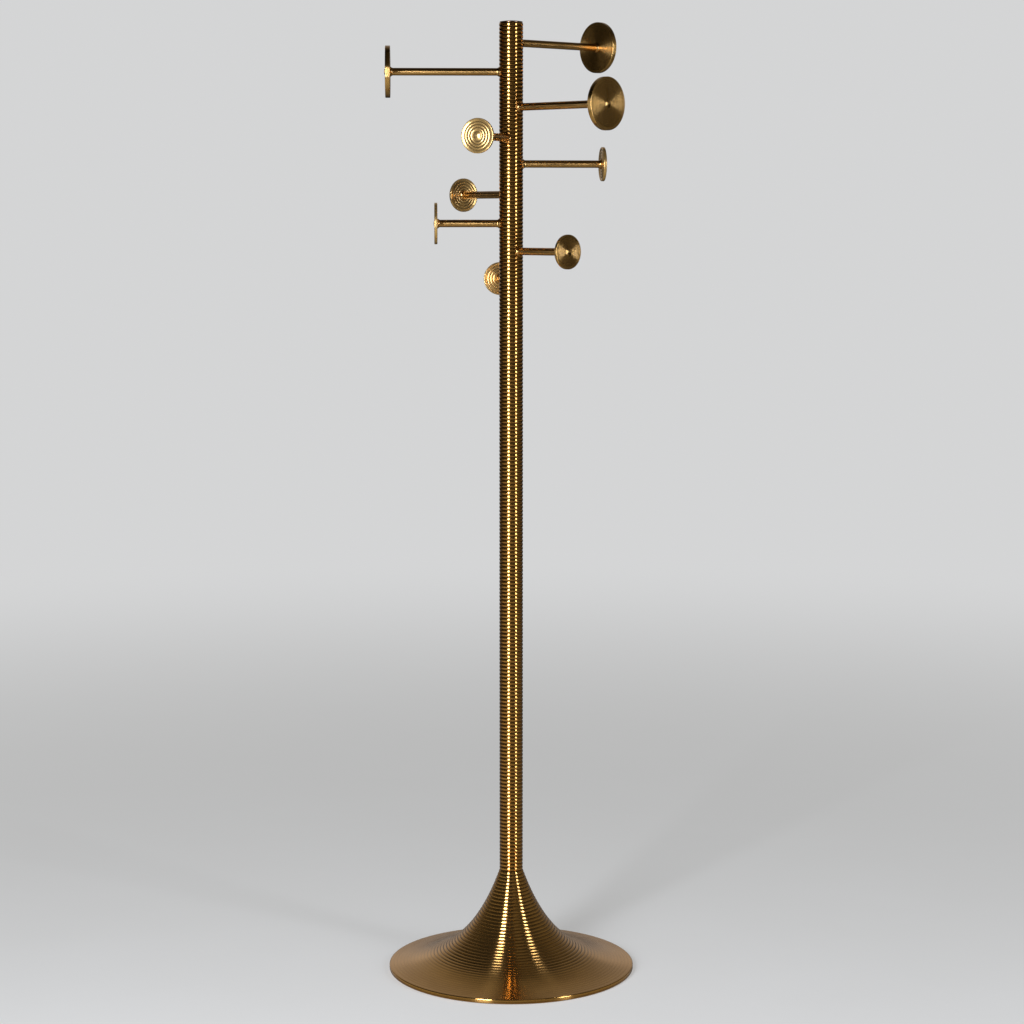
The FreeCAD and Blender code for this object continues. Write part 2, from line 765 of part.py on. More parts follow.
def main():
    doc = FreeCAD.newDocument("coat_stand")
    size = make_sheet(doc, DIMENSIONS + peg_rows())
    doc.recompute()

    weight, weight_steps = base_weight(doc, size)
    plate, plate_steps = base_plate(doc, size)
    parts = [
        base_shell(doc, size),
        weight,
        plate,
        floor_pad(doc, size),
        plate_screws(doc, size),
        base_washer(doc, size),
        base_nut(doc, size),
        tie_rod(doc, size),
        spacer_tube(doc, size),
        foot_bush(doc, size),
        pole_section(doc, size, "pole_lower", 0),
        pole_section(doc, size, "pole_middle", 1),
        top_cap(doc, size),
    ]

    for name, joint in zip(("lower", "upper"), joint_heights(size)[1:]):
        parts.append(joint_bush(doc, size, f"{name}_joint_socket", joint - size.bush_length))
        parts.append(joint_bush(doc, size, f"{name}_joint_bush", joint))
        parts.append(joint_stud(doc, size, f"{name}_joint_stud", joint))

    cutters = []
    inserts = []
    for number, (_, _, _, kind) in enumerate(PEGS, start=1):
        reach = getattr(size, f"peg_{number}_reach")
        cutters.append(peg_cutter(doc, size, number))
        inserts.append(peg_insert(doc, size, number))
        parts.append(peg_stem(doc, size, number, reach, kind))
        parts.append(peg_disc(doc, size, number, reach, kind))
    parts.append(group(doc, "peg_inserts", inserts))

    blank = pole_section(doc, size, "pole_upper_blank", 2)
    upper = doc.addObject("Part::Cut", "pole_upper")
    upper.Label = "pole_upper"
    upper.Base = blank
    upper.Tool = group(doc, "peg_cutters", cutters)
    parts.append(upper)

    doc.recompute()
    cuts = [("pole_upper", blank, upper)]
    for before, pocket, pattern in (weight_steps, plate_steps):
        cuts.append((pocket.Label, before, pocket))
        cuts.append((pattern.Label, pocket, pattern))
    check_document(doc, parts, cuts)

    os.makedirs("parts", exist_ok=True)
    for part in parts:
        part.Shape.exportStep(f"parts/{part.Label}.step")
        box = part.Shape.BoundBox
        print(f"{part.Label:20s} {part.Shape.Volume / 1000:9.2f} cm3  solids {len(part.Shape.Solids)}"
              f"  z {box.ZMin:8.2f} to {box.ZMax:8.2f}")
    print(f"{len(parts)} parts")


main()
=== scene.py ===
"""Looks for the ribbed brass coat stand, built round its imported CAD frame.

Turned pieces are swept from outlines in millimetres. An outline is travelled with the outside
on its left: out from the axis or the bore at the top, down the outer side, and back below.
"""

import math
from collections import namedtuple

import bpy
import numpy as np
from mathutils import Matrix, Vector


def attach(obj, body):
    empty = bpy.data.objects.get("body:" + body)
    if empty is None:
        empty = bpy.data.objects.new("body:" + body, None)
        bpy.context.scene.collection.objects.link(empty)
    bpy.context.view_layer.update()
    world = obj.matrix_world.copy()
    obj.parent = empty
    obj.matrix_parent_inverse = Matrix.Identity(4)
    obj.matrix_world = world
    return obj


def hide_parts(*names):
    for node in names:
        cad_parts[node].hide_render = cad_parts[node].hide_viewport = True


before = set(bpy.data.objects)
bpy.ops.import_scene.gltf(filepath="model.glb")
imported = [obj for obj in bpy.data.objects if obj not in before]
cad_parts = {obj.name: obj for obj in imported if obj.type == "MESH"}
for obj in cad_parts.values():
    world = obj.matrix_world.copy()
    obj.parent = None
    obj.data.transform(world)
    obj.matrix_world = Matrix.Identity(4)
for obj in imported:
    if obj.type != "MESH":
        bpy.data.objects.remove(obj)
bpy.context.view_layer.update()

# ---------------------------------------------------------------- sizes, in millimetres

MM = 0.001
OVERALL_HEIGHT = 1750

# The pole: three like sections, with shallow rounded ribs.
SECTIONS = ("lower", "middle", "upper")
SECTION_RIBS = 75
POLE_RADIUS = 21.75
POLE_BORE = 18.5
RIB_DEPTH = 1
RIB_STEPS = 6

# The base: a shell on a curve that decays towards the floor. Its ribs fade between two shares of
# the curve's length, and below that only fine lines are left. The curve's slope is taken over
# a small share of its length on either side.
NECK_HEIGHT = 188.3
BASE_RADIUS = 228.5
FLARE_FOOT = 0.9
FLARE_DECAY = 67
FLARE_RIBS = 45
FLARE_RIB_STEPS = 8
FINE_DEPTH = 0.12
FADE_START = 0.62
FADE_FINISH = 0.8
SHELL_WALL = 2
RIM_ROUND = 2
RIM_WALL = 3
RIM_CLEARANCE = 1
# How much painted shade darkens the rim's side wall.
RIM_SHADE = 0.6
COLLAR_SEAT = 160
COLLAR_BORE = 15
CURVE_SAMPLES = 4001
SLOPE_SPAN = 0.002
LINING_STEPS = 20

# The cap: a low crown, and a plug that goes down into the pole.
CAP_RADIUS = 20.6
CAP_HEIGHT = 4
CAP_CROWN = 2
CAP_PLUG_RADIUS = 18.4
CAP_PLUG_LENGTH = 14
CAP_EDGE = 0.5

# The pegs' rods: measured out from the pole's axis, with a flare and a short collar at each end.
STEM_ROOT = 19.6
STEM_START = 21
STEM_RADIUS = 6.8
STEM_COLLAR = 8.8
COLLAR_EDGE = 1.2
FLARE_LENGTH = 4.2
FLARE_STEPS = 8

# The pegs' discs: a domed boss on the outer face, and a hub, rings and a lip on both faces.
# Shade is how much painted shade darkens the grooves between the rings.
Disc = namedtuple("Disc", "radius thickness rings relief shade")
DISCS = {
    "small": Disc(30.8, 5.5, rings=3, relief=0.95, shade=1.0),
    "plain": Disc(30.8, 5.5, rings=6, relief=0.25, shade=0.6),
    "medium": Disc(37.4, 5.5, rings=4, relief=0.95, shade=1.0),
    "large": Disc(46.4, 9, rings=11, relief=0.25, shade=0.6),
}
DISC_EDGE = 1
DISC_HUB = 9.4
BOSS_RADIUS = 8
BOSS_HEIGHT = 2.2
# BOSS_SHADE is the painted shade where the boss meets the face.
BOSS_SHADE = 0.4
RIM_BEAD = 5.8
RING_STEPS = 8
LIP_STEPS = 6

# Each peg: its height, its bearing in degrees from +X, how far out its disc's middle is, and
# the kind of disc.
PEGS = (
    (1711, 40, 210, "large"),
    (1659, 182, 222, "large"),
    (1596, 318, 223, "large"),
    (1541, 246.5, 147, "small"),
    (1495, 8, 168, "small"),
    (1440, 127, 147, "small"),
    (1388, 182, 136.5, "medium"),
    (1338, 313, 147, "plain"),
    (1285, 98, 147, "small"),
)

# How many flats each piece is turned with, and the angle from which an edge is sharp.
BASE_SEGMENTS = 192
POLE_SEGMENTS = 96
CAP_SEGMENTS = 96
STEM_SEGMENTS = 64
DISC_SEGMENTS = 128
SHARP_DEGREES = 32

# ---------------------------------------------------------------- finish of the brass

TOOL_RINGS = 2600        # rings from the tool, per metre along the outline
TOOL_DRIFT = 0.6         # how far the tool's marks change round a turn
TOOL_HEIGHT = 0.0000008  # metres
TARNISH_LENGTH = 14      # how fast the patches of tarnish change, per metre along the outline
TARNISH_SCALE = 1.6
GROOVE_PAINTED_SHADE = 0.92       # how much of the groove colour, a painted shade, shows where a groove is deepest
GROOVE_ROUGHNESS = 0.16  # added where a groove is deepest
COAT_ROUGHNESS = 0.12

# ---------------------------------------------------------------- stage and camera
# Lengths are in metres and angles in degrees; the lens and its sensor are in millimetres.

FLOOR_RADIUS = 40
FLOOR_SIDES = 96
FLOOR_DROP = 0.0001
FLOOR_FADE = (0.5, 5.5)
FLOOR_GLOW = 0.52
CARD_STRENGTH = 0.42
BACKGROUND = (0.66, 0.664, 0.668, 1)

LAMP_DISTANCE = 3.0
LAMP_MIDDLE = 1.35
LAMP_LENGTH = 2.1
LAMP_TINT = (0.86, 0.97, 1.40)

CAMERA_PLACE = (0, -4.4504, 1.3976)
CAMERA_TILT = 83.124
CAMERA_TURN = -0.02
CAMERA_LENS = 85.67
CAMERA_SENSOR = 36

# ---------------------------------------------------------------- outlines


class Outline:
    """Points (radius, height, groove) down a turned piece; groove is painted shade, 1 in a deep
    groove.
    """

    def __init__(self, radius, height, groove=0.0):
        self.points = [(radius, height, groove)]

    def line(self, radius, height, steps=1, groove=0.0):
        """A straight run to this point."""
        r0, h0, g0 = self.points[-1]
        for step in range(1, steps + 1):
            t = step / steps
            self.points.append((r0 + (radius - r0) * t, h0 + (height - h0) * t,
                                g0 + (groove - g0) * t))
        return self

    def bow(self, radius, height, rise, steps, groove=0.0):
        """An arc that stands out by rise at its middle; groove is the painted shade at its ends,
        fading to none at its middle.
        """
        r0, h0, _ = self.points[-1]
        chord = Vector((radius - r0, height - h0))
        half = chord.length / 2
        bend = (half * half + rise * rise) / (2 * abs(rise))
        side = 1 if rise > 0 else -1
        outward = Vector((-chord.y, chord.x)).normalized() * side
        centre = Vector((r0, h0)) + chord / 2 + outward * (abs(rise) - bend)
        sweep = math.asin(min(1, half / bend))
        if abs(rise) > half:
            sweep = math.pi - sweep
        along = chord.normalized()
        for step in range(1, steps + 1):
            angle = sweep * (2 * step / steps - 1)
            place = centre + (outward * math.cos(angle) + along * math.sin(angle)) * bend
            away = abs(2 * step / steps - 1)
            self.points.append((place.x, place.y, groove * away ** 3))
        return self

    def corner(self, radius, height, steps=5):
        """A quarter round, or any arc that turns through a right angle, to this point."""
        r0, h0, _ = self.points[-1]
        half = math.hypot(radius - r0, height - h0) / 2
        return self.bow(radius, height, half * (math.sqrt(2) - 1), steps)


def rise_of(chord, bend):
    """How far an arc of radius bend stands out over a chord."""
    return bend - math.sqrt(bend * bend - chord * chord / 4)


def turned(name, outline, segments, node, material, matrix=None):
    """Sweeps an outline round its axis into a closed mesh that stands for a CAD node.

    Its UV map has u, metres along the outline, and v, the share of a turn.
    """
    rows = outline.points
    closed = rows[0][0] > 0
    count = len(rows)
    steps = [math.hypot(b[0] - a[0], b[1] - a[1]) * MM for a, b in zip(rows, rows[1:] + rows[:1])]
    along = np.concatenate([[0], np.cumsum(steps)])

    turn = np.arange(segments) * 2 * math.pi / segments
    vertices, groove, first = [], [], []
    for radius, height, depth in rows:
        first.append(len(vertices))
        if radius > 0:
            ring = [(radius * MM * math.cos(a), radius * MM * math.sin(a), height * MM)
                    for a in turn]
        else:
            ring = [(0, 0, height * MM)]
        vertices += ring
        groove += [depth] * len(ring)

    faces, uvs = [], []
    for row in range(count if closed else count - 1):
        below = (row + 1) % count
        top_single, low_single = rows[row][0] == 0, rows[below][0] == 0
        u0, u1 = along[row], along[row + 1]
        for i in range(segments):
            j = (i + 1) % segments
            v0, v1 = i / segments, (i + 1) / segments
            a, d = first[row] + i, first[row] + j
            b, c = first[below] + i, first[below] + j
            if top_single:
                faces.append((first[row], b, c))
                uvs += [(u0, (v0 + v1) / 2), (u1, v0), (u1, v1)]
            elif low_single:
                faces.append((a, first[below], d))
                uvs += [(u0, v0), (u1, (v0 + v1) / 2), (u0, v1)]
            else:
                faces.append((a, b, c, d))
                uvs += [(u0, v0), (u1, v0), (u1, v1), (u0, v1)]

    mesh = bpy.data.meshes.new(name)
    mesh.from_pydata(vertices, [], faces)
    layer = mesh.uv_layers.new(name="turned")
    layer.data.foreach_set("uv", np.array(uvs, np.float32).ravel())
    # Each point's groove value goes into an attribute that the brass uses for painted shade.
    mark = mesh.attributes.new("groove", "FLOAT", "POINT")
    mark.data.foreach_set("value", np.array(groove, np.float32))
    mesh.shade_smooth()
    mesh.set_sharp_from_angle(angle=math.radians(SHARP_DEGREES))
    mesh.materials.append(material)
    piece = bpy.data.objects.new(name, mesh)
    bpy.context.scene.collection.objects.link(piece)
    if matrix is not None:
        piece.matrix_world = matrix
    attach(piece, "root")
    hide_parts(node)


# ---------------------------------------------------------------- materials


class Finish:
    """A Principled material and short ways to add the nodes that feed it."""

    def __init__(self, name, constants):
        self.material = bpy.data.materials.new(name)
        self.material.use_nodes = True
        self.tree = self.material.node_tree
        self.shader = self.tree.nodes["Principled BSDF"]
        for key, value in constants.items():
            self.shader.inputs[key].default_value = value

    def add(self, kind, inputs=(), **settings):
        """A new node, with its inputs by name or number and its settings by name."""
        node = self.tree.nodes.new("ShaderNode" + kind)
        for key, value in settings.items():
            setattr(node, key, value)
        for key, value in dict(inputs).items():
            self.feed(node.inputs[key], value)
        return node

    def feed(self, socket, value):
        """Links a socket to the output of a node, or sets it to a constant."""
        if isinstance(value, bpy.types.NodeSocket):
            self.tree.links.new(value, socket)
        else:
            socket.default_value = value

    def set(self, name, value):
        self.feed(self.shader.inputs[name], value)

    def math(self, operation, a, b=0.0):
        return self.add("Math", {0: a, 1: b}, operation=operation).outputs[0]

    def remap(self, value, low, high, to_low=0.0, to_high=1.0):
        """Stretches low to high over to_low to to_high, and holds the ends."""
        node = self.add("MapRange", {"Value": value, "From Min": low, "From Max": high,
                                     "To Min": to_low, "To Max": to_high})
        return node.outputs[0]

    def noise(self, vector, scale, detail=2.0, roughness=0.5):
        node = self.add("TexNoise", {"Vector": vector, "Scale": scale, "Detail": detail,
                                     "Roughness": roughness})
        return node.outputs[0]

    def blend(self, share, a, b):
        return self.add("MixRGB", {"Fac": share, "Color1": a, "Color2": b}).outputs[0]

    def bump(self, height, distance, strength=1.0):
        node = self.add("Bump", {"Height": height, "Distance": distance, "Strength": strength})
        self.set("Normal", node.outputs[0])

    def place(self):
        """The point's place on its own piece, in metres."""
        return self.add("TexCoord").outputs["Object"]


def colour(red, green, blue):
    return (red, green, blue, 1)


def brass(name, light, dark, groove, roughness, anisotropic, streak=0.2, patch=0.6,
          metallic=1.0, coat=0.0):
    """Turned brass: fine rings from the tool, soft patches of tarnish, and painted shade in its
    grooves.
    """
    finish = Finish(name, {"Metallic": metallic, "Anisotropic": anisotropic,
                           "Coat Weight": coat, "Coat Roughness": COAT_ROUGHNESS})
    uv = finish.add("UVMap", uv_map="turned").outputs[0]
    lengthwise, share, _ = finish.add("SeparateXYZ", {0: uv}).outputs
    turn = finish.math("MULTIPLY", share, 2 * math.pi)
    east = finish.math("COSINE", turn)
    north = finish.math("SINE", turn)
    rings = finish.add("CombineXYZ", {
        0: finish.math("MULTIPLY", east, TOOL_DRIFT),
        1: finish.math("MULTIPLY", north, TOOL_DRIFT),
        2: finish.math("MULTIPLY", lengthwise, TOOL_RINGS),
    }).outputs[0]
    soft = finish.add("CombineXYZ", {
        0: east,
        1: north,
        2: finish.math("MULTIPLY", lengthwise, TARNISH_LENGTH),
    }).outputs[0]
    tool = finish.noise(rings, scale=1.0, detail=3.0, roughness=0.6)
    tarnish = finish.noise(soft, scale=TARNISH_SCALE, detail=4.0, roughness=0.55)
    depth = finish.add("Attribute", attribute_name="groove").outputs["Fac"]

    shade = finish.remap(tarnish, 0.3, 0.72)
    ground = finish.blend(finish.math("MULTIPLY", shade, patch), light, dark)
    marks = finish.blend(finish.remap(tool, 0.3, 0.7), dark, light)
    lined = finish.blend(streak, ground, marks)
    # Painted shade: the groove colour darkens the colour where the groove attribute is high.
    finish.set("Base Color",
               finish.blend(finish.math("MULTIPLY", depth, GROOVE_PAINTED_SHADE), lined, groove))

    rough = finish.math("ADD", finish.remap(tool, 0.25, 0.75, -0.03, 0.03),
                        finish.remap(tarnish, 0.3, 0.7, -0.03, 0.05))
    rough = finish.math("ADD", rough, finish.math("MULTIPLY", depth, GROOVE_ROUGHNESS))
    finish.set("Roughness", finish.math("ADD", rough, roughness))
    tangent = finish.add("Tangent", direction_type="UV_MAP", uv_map="turned")
    finish.set("Tangent", tangent.outputs[0])
    finish.bump(tool, TOOL_HEIGHT)
    return finish.material


def painted_plate():
    """Black paint with a fine orange peel and a little dust."""
    finish = Finish("plate_paint", {"Metallic": 0.0, "Coat Weight": 0.15})
    place = finish.place()
    peel = finish.noise(place, scale=520)
    dust = finish.noise(place, scale=22, detail=5, roughness=0.62)
    finish.set("Base Color", finish.blend(finish.remap(dust, 0.42, 0.75, 0, 0.35),
                                          colour(0.014, 0.014, 0.015),
                                          colour(0.06, 0.057, 0.053)))
    finish.set("Roughness", finish.remap(dust, 0.3, 0.7, 0.38, 0.58))
    finish.bump(peel, distance=0.00012, strength=0.5)
    return finish.material


def felt():
    """Dark felt, with fibres and soft clumps."""
    finish = Finish("felt", {"Metallic": 0.0, "Sheen Weight": 0.5, "Sheen Roughness": 0.6})
    place = finish.place()
    fibre = finish.noise(place, scale=900, detail=6, roughness=0.7)
    clump = finish.noise(place, scale=120, detail=3)
    finish.set("Base Color", finish.blend(fibre, colour(0.02, 0.02, 0.022),
                                          colour(0.075, 0.072, 0.07)))
    finish.set("Roughness", finish.remap(clump, 0.3, 0.7, 0.86, 1.0))
    finish.bump(finish.math("ADD", fibre, clump), distance=0.0006, strength=0.8)
    return finish.material


def zinc_steel():
    """Zinc-plated steel with a faint spangle."""
    finish = Finish("zinc_steel", {"Metallic": 1.0})
    place = finish.place()
    spangle = finish.add("TexVoronoi", {"Vector": place, "Scale": 420.0}).outputs["Color"]
    haze = finish.noise(place, scale=60, detail=4)
    finish.set("Base Color", finish.blend(finish.remap(haze, 0.3, 0.7),
                                          colour(0.52, 0.53, 0.54), colour(0.68, 0.68, 0.66)))
    rough = finish.math("MULTIPLY", spangle, 0.12)
    finish.set("Roughness", finish.math("ADD", rough, 0.26))
    finish.bump(haze, distance=0.00003, strength=0.5)
    return finish.material


def cast_iron():
    """Rough, dark grey iron as cast."""
    finish = Finish("cast_iron", {"Metallic": 0.8})
    place = finish.place()
    grain = finish.noise(place, scale=380, detail=5, roughness=0.7)
    scale = finish.noise(place, scale=34, detail=4)
    finish.set("Base Color", finish.blend(scale, colour(0.045, 0.043, 0.042),
                                          colour(0.13, 0.115, 0.1)))
    finish.set("Roughness", finish.remap(grain, 0.3, 0.7, 0.55, 0.8))
    finish.bump(grain, distance=0.0004, strength=0.8)
    return finish.material


# ---------------------------------------------------------------- base, pole and cap


def flare_curve():
    """Radius and height along the base's curve, and the share of its length up to there."""
    radius = np.linspace(POLE_RADIUS, BASE_RADIUS - RIM_ROUND, CURVE_SAMPLES)
    drop = NECK_HEIGHT - FLARE_FOOT
    height = FLARE_FOOT + drop * np.exp(-(radius - POLE_RADIUS) / FLARE_DECAY)
    length = np.concatenate([[0], np.cumsum(np.hypot(np.diff(radius), np.diff(height)))])
    return radius, height, length / length[-1]


def base_outline():
    """Down the ribs of the flare, round the rim, and up inside the shell to its collar."""
    radius, height, share = flare_curve()

    def curve(at):
        return float(np.interp(at, share, radius)), float(np.interp(at, share, height))

    def depth(at):
        fade = min(max((FADE_FINISH - at) / (FADE_FINISH - FADE_START), 0), 1)
        return FINE_DEPTH + (RIB_DEPTH - FINE_DEPTH) * fade * fade * (3 - 2 * fade)

    def groove(index):
        at = index / FLARE_RIBS
        near, far = curve(max(at - SLOPE_SPAN, 0)), curve(min(at + SLOPE_SPAN, 1))
        slope = Vector((far[0] - near[0], far[1] - near[1])).normalized()
        inward = Vector((slope.y, -slope.x)) * depth(at)
        r, h = curve(at)
        return r + inward.x, h + inward.y

    outline = Outline(POLE_RADIUS - RIB_DEPTH, NECK_HEIGHT, 1.0)
    for index in range(FLARE_RIBS):
        middle = (index + 0.5) / FLARE_RIBS
        last = index + 1 == FLARE_RIBS
        end = curve(1) if last else groove(index + 1)
        crest = curve(middle)
        start = outline.points[-1][:2]
        chord = Vector((end[0] - start[0], end[1] - start[1]))
        off = Vector((crest[0] - start[0], crest[1] - start[1]))
        rise = (chord.x * off.y - chord.y * off.x) / chord.length
        # Painted shade in the grooves between ribs, less where the ribs fade.
        outline.bow(end[0], end[1], rise, FLARE_RIB_STEPS, depth(middle) / RIB_DEPTH)

    rim_top = outline.points[-1][1]
    outline.corner(BASE_RADIUS, rim_top - RIM_ROUND, steps=6)
    # The rim's side wall gets painted shade.
    outline.line(BASE_RADIUS, RIM_CLEARANCE + RIM_ROUND, steps=3, groove=RIM_SHADE)
    outline.corner(BASE_RADIUS - RIM_ROUND, RIM_CLEARANCE, steps=6)
    outline.line(BASE_RADIUS - RIM_WALL, RIM_CLEARANCE)

    drop = NECK_HEIGHT - FLARE_FOOT
    seat_run = FLARE_DECAY * math.log(drop / (COLLAR_SEAT + SHELL_WALL - FLARE_FOOT))
    foot, seat_edge = BASE_RADIUS - RIM_WALL, POLE_RADIUS + seat_run - SHELL_WALL
    for step in range(LINING_STEPS + 1):
        inner = foot + (seat_edge - foot) * step / LINING_STEPS
        run = inner + SHELL_WALL - POLE_RADIUS
        outline.line(inner, FLARE_FOOT + drop * math.exp(-run / FLARE_DECAY) - SHELL_WALL)
    outline.line(COLLAR_BORE, COLLAR_SEAT)
    outline.line(COLLAR_BORE, NECK_HEIGHT)
    return outline


def pole_outline(place):
    """One section of the pole; place 0 is the lowest."""
    length = (OVERALL_HEIGHT - CAP_HEIGHT - NECK_HEIGHT) / len(SECTIONS)
    low = NECK_HEIGHT + length * place
    high = low + length
    pitch = length / SECTION_RIBS
    groove = POLE_RADIUS - RIB_DEPTH
    outline = Outline(POLE_BORE, high)
    outline.line(groove, high)
    for rib in range(1, SECTION_RIBS + 1):
        # Full painted shade in the grooves between the ribs.
        outline.bow(groove, high - pitch * rib, RIB_DEPTH, RIB_STEPS, 1.0)
    outline.line(POLE_BORE, low)
    return outline


def cap_outline():
    """Over the crown, round its edge, and down the plug."""
    seat = OVERALL_HEIGHT - CAP_HEIGHT
    edge = OVERALL_HEIGHT - CAP_CROWN
    crown = (CAP_RADIUS ** 2 + CAP_CROWN ** 2) / (2 * CAP_CROWN)
    inset = CAP_RADIUS - CAP_EDGE
    shoulder = OVERALL_HEIGHT - crown + math.sqrt(crown ** 2 - inset ** 2)
    outline = Outline(0, OVERALL_HEIGHT)
    rise = rise_of(math.hypot(inset, OVERALL_HEIGHT - shoulder), crown)
    outline.bow(inset, shoulder, rise, steps=12)
    outline.corner(CAP_RADIUS, edge - CAP_EDGE, steps=4)
    outline.line(CAP_RADIUS, seat)
    outline.line(CAP_PLUG_RADIUS, seat)
    outline.line(CAP_PLUG_RADIUS, seat - CAP_PLUG_LENGTH)
    outline.line(0, seat - CAP_PLUG_LENGTH)
    return outline


# ---------------------------------------------------------------- pegs


def stem_outline(reach, kind):
    """Down the rod from the disc to the pole; both ends flare in a hollow curve."""
    face = reach - DISCS[kind].thickness / 2
    step = STEM_COLLAR - STEM_RADIUS
    bend = (FLARE_LENGTH ** 2 + step ** 2) / (2 * step)
    hollow = -rise_of(math.hypot(FLARE_LENGTH, step), bend)
    outline = Outline(0, face)
    outline.line(STEM_COLLAR, face)
    outline.line(STEM_COLLAR, face - COLLAR_EDGE)
    outline.bow(STEM_RADIUS, face - COLLAR_EDGE - FLARE_LENGTH, hollow, FLARE_STEPS)
    outline.line(STEM_RADIUS, STEM_START + COLLAR_EDGE + FLARE_LENGTH, steps=24)
    outline.bow(STEM_COLLAR, STEM_START + COLLAR_EDGE, hollow, FLARE_STEPS)
    outline.line(STEM_COLLAR, STEM_ROOT)
    outline.line(0, STEM_ROOT)
    return outline


def disc_outline(reach, kind):
    """Out over the boss and the rings of the outer face, round the edge and back inside."""
    radius, thickness, rings, relief, shade = DISCS[kind]
    inner, outer = reach - thickness / 2, reach + thickness / 2
    rim, crest = radius - RIM_BEAD, radius - DISC_EDGE
    pitch = (rim - DISC_HUB) / rings
    lip_bend = ((crest - rim) ** 2 + relief ** 2) / (2 * relief)
    lip = rise_of(math.hypot(crest - rim, relief), lip_bend)
    boss_bend = (BOSS_RADIUS ** 2 + BOSS_HEIGHT ** 2) / (2 * BOSS_HEIGHT)
    boss = rise_of(math.hypot(BOSS_RADIUS, BOSS_HEIGHT), boss_bend)
    floor = outer - relief

    outline = Outline(0, floor + BOSS_HEIGHT)
    outline.bow(BOSS_RADIUS, floor, boss, steps=12, groove=BOSS_SHADE)
    outline.line(DISC_HUB, floor, steps=2)
    for ring in range(1, rings + 1):
        outline.bow(DISC_HUB + pitch * ring, floor, relief, RING_STEPS, shade)
    outline.bow(crest, outer, lip, LIP_STEPS)
    outline.corner(radius, outer - DISC_EDGE, steps=8)
    outline.line(radius, inner + DISC_EDGE, steps=2)
    outline.corner(crest, inner, steps=8)
    outline.bow(rim, inner + relief, lip, LIP_STEPS, shade)
    for ring in range(1, rings + 1):
        outline.bow(rim - pitch * ring, inner + relief, relief, RING_STEPS, shade)
    outline.line(DISC_HUB, inner)
    outline.line(0, inner, steps=3)
    return outline


def peg_matrix(height, bearing):
    """Stands a piece turned about its own Z axis at a peg's height and bearing."""
    angle = math.radians(bearing)
    out = Vector((math.cos(angle), math.sin(angle), 0))
    up = Vector((0, 0, 1))
    matrix = Matrix((up, out.cross(up), out)).transposed().to_4x4()
    matrix.translation = up * height * MM
    return matrix


# ---------------------------------------------------------------- build

# Each groove colour is the painted shade for that material's grooves.
ribbed = brass("ribbed_brass", light=colour(0.65, 0.315, 0.06), dark=colour(0.47, 0.21, 0.034),
               groove=colour(0.03, 0.011, 0.0015), roughness=0.17, anisotropic=0.85, coat=0.2)
satin = brass("satin_brass", light=colour(0.66, 0.345, 0.08), dark=colour(0.49, 0.235, 0.045),
              groove=colour(0.02, 0.008, 0.002), roughness=0.15, anisotropic=1.0, metallic=0.96)
discs = brass("turned_brass", light=colour(0.64, 0.37, 0.10), dark=colour(0.46, 0.24, 0.05),
              groove=colour(0.05, 0.022, 0.005), roughness=0.24, anisotropic=0.95, streak=0.25,
              coat=0.15)
ringed = brass("ringed_brass", light=colour(0.74, 0.46, 0.14), dark=colour(0.58, 0.33, 0.085),
               groove=colour(0.04, 0.018, 0.004), roughness=0.27, anisotropic=0.65,
               metallic=0.88)
rods = brass("rod_brass", light=colour(0.57, 0.315, 0.085), dark=colour(0.42, 0.215, 0.05),
             groove=colour(0.08, 0.04, 0.012), roughness=0.20, anisotropic=0.95, patch=0.5,
             coat=0.2)
dark = brass("dark_brass", light=colour(0.16, 0.09, 0.035), dark=colour(0.09, 0.05, 0.02),
             groove=colour(0.03, 0.015, 0.006), roughness=0.34, anisotropic=0.6, streak=0.3,
             coat=0.3)

turned("stand_base", base_outline(), BASE_SEGMENTS, "base_shell", satin)
for place, level in enumerate(SECTIONS):
    turned(f"stand_pole_{level}", pole_outline(place), POLE_SEGMENTS, f"pole_{level}",
           ribbed)
turned("stand_cap", cap_outline(), CAP_SEGMENTS, "top_cap", dark)
for number, (height, bearing, reach, kind) in enumerate(PEGS, start=1):
    matrix = peg_matrix(height, bearing)
    face = ringed if kind in ("small", "medium") else discs
    turned(f"peg_rod_{number}", stem_outline(reach, kind), STEM_SEGMENTS, f"peg_stem_{number}",
           rods, matrix)
    turned(f"peg_face_{number}", disc_outline(reach, kind), DISC_SEGMENTS,
           f"peg_disc_{number}", face, matrix)

# The CAD nodes that still show are the ones inside and underneath. Any not named are steel.
inner_finishes = {
    "base_weight": cast_iron(),
    "base_plate": painted_plate(),
    "floor_pad": felt(),
}
steel = zinc_steel()
for name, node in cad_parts.items():
    if not node.hide_render:
        node.data.materials.clear()
        node.data.materials.append(inner_finishes.get(name, steel))

# ---------------------------------------------------------------- stage, light and camera


